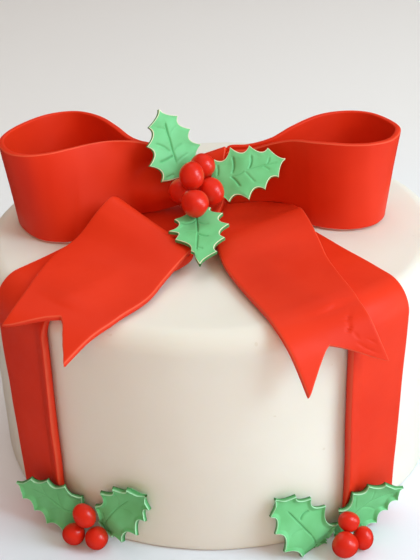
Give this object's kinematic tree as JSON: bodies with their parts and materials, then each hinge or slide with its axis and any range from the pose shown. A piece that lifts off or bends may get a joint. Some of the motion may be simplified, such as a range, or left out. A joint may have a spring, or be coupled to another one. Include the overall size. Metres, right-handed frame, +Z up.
{
  "type": "christmas cake",
  "caption": "Round fondant-covered christmas cake wrapped in red ribbons, with a large standing bow on top, holly leaves and berries, for tables, shop windows and parties.",
  "frame": {"origin": "middle of the cake's flat underside, on the surface that it stands on", "axes": "+Z up, -Y towards the front, where the bow's two tails hang, +X to the right seen from the front"},
  "size_m": [0.2, 0.2281, 0.1514],
  "materials": {
    "ivory_fondant": "smooth satin rolled icing",
    "red_fondant": "smooth satin sugar paste",
    "berry_fondant": "polished sugar paste balls",
    "holly_fondant": "veined sugar paste with pale rims"
  },
  "bodies": {
    "root": {"cake": "ivory_fondant", "band_right": "red_fondant", "band_left_front": "red_fondant", "band_left_back": "red_fondant", "bow_loop_right": "red_fondant", "bow_loop_left": "red_fondant", "bow_tail_left": "red_fondant", "bow_tail_right": "red_fondant", "bow_centre": "red_fondant", "bow_leaf_1": "holly_fondant", "bow_leaf_2": "holly_fondant", "bow_leaf_3": "holly_fondant", "bow_berry_1": "berry_fondant", "bow_berry_2": "berry_fondant", "bow_berry_3": "berry_fondant", "bow_berry_4": "berry_fondant", "bow_berry_5": "berry_fondant", "sprig_front_left_ribbon_leaf": "holly_fondant", "sprig_front_left_icing_leaf": "holly_fondant", "sprig_front_left_berry_1": "berry_fondant", "sprig_front_left_berry_2": "berry_fondant", "sprig_front_left_berry_3": "berry_fondant", "sprig_front_right_ribbon_leaf": "holly_fondant", "sprig_front_right_icing_leaf": "holly_fondant", "sprig_front_right_berry_1": "berry_fondant", "sprig_front_right_berry_2": "berry_fondant", "sprig_front_right_berry_3": "berry_fondant", "sprig_back_right_ribbon_leaf": "holly_fondant", "sprig_back_right_icing_leaf": "holly_fondant", "sprig_back_right_berry_1": "berry_fondant", "sprig_back_right_berry_2": "berry_fondant", "sprig_back_right_berry_3": "berry_fondant", "sprig_back_left_ribbon_leaf": "holly_fondant", "sprig_back_left_icing_leaf": "holly_fondant", "sprig_back_left_berry_1": "berry_fondant", "sprig_back_left_berry_2": "berry_fondant", "sprig_back_left_berry_3": "berry_fondant"}
  },
  "joints": []
}
